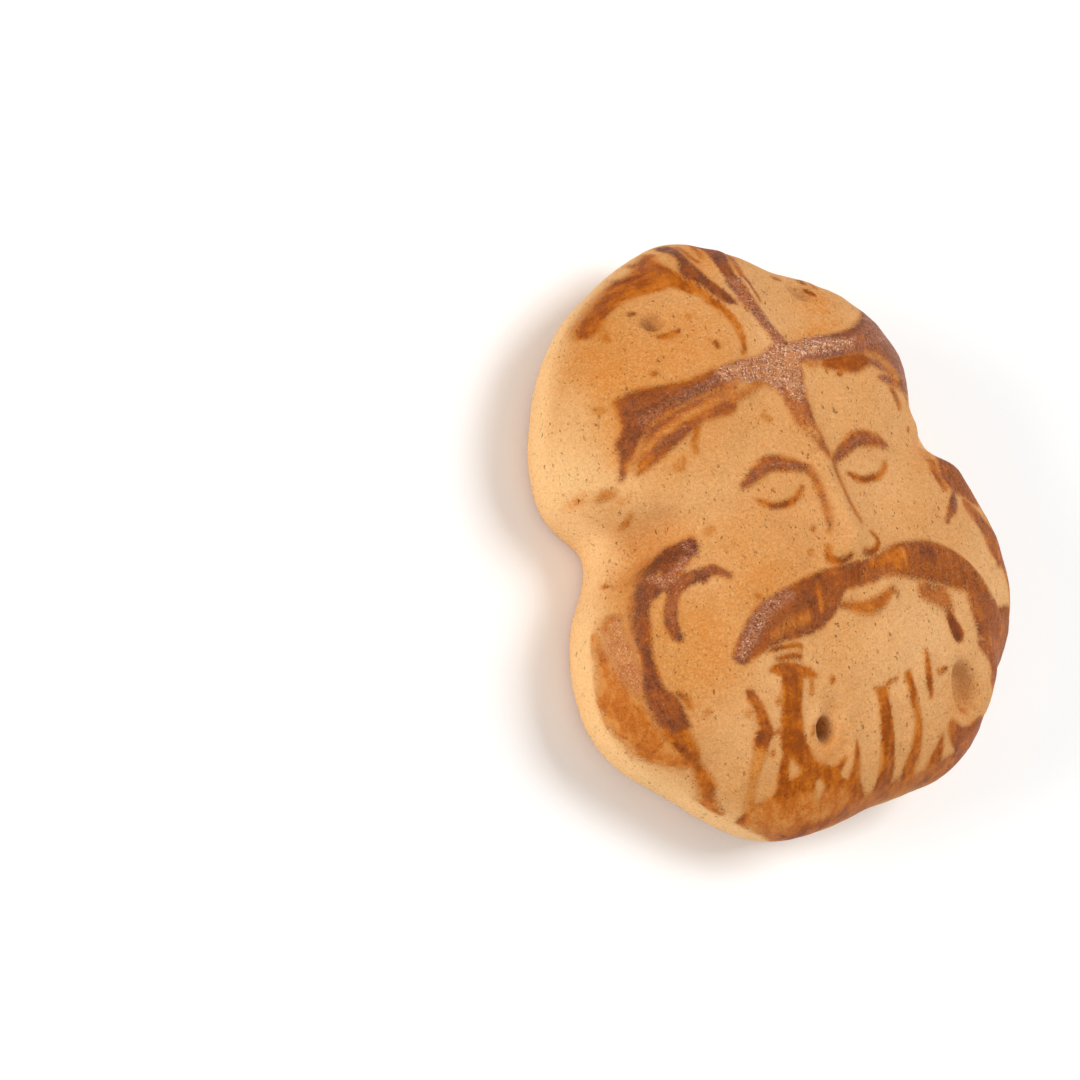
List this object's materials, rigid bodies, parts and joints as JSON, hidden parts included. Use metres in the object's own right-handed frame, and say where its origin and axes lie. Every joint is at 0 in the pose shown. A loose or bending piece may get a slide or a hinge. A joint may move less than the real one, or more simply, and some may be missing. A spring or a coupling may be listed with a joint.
{
  "type": "taai-taai cookie",
  "caption": "Thick soft spiced figure cookie in the shape of a bearded bishop's head under a mitre, with a flat underside and brushed brown glaze.",
  "frame": {"origin": "the middle of the flat underside, below the centre of the cookie's box", "axes": "+Y from the beard to the point of the mitre, +X towards the figure's left cheek, +Z out of the face, away from the surface that the cookie lies on"},
  "size_m": [0.062, 0.0764, 0.0257],
  "materials": {
    "crust": "pale golden tan baked crust, floury and matt, with a satin brown glaze brushed over the raised lines"
  },
  "bodies": {
    "root": {"cookie": "crust"}
  },
  "joints": []
}
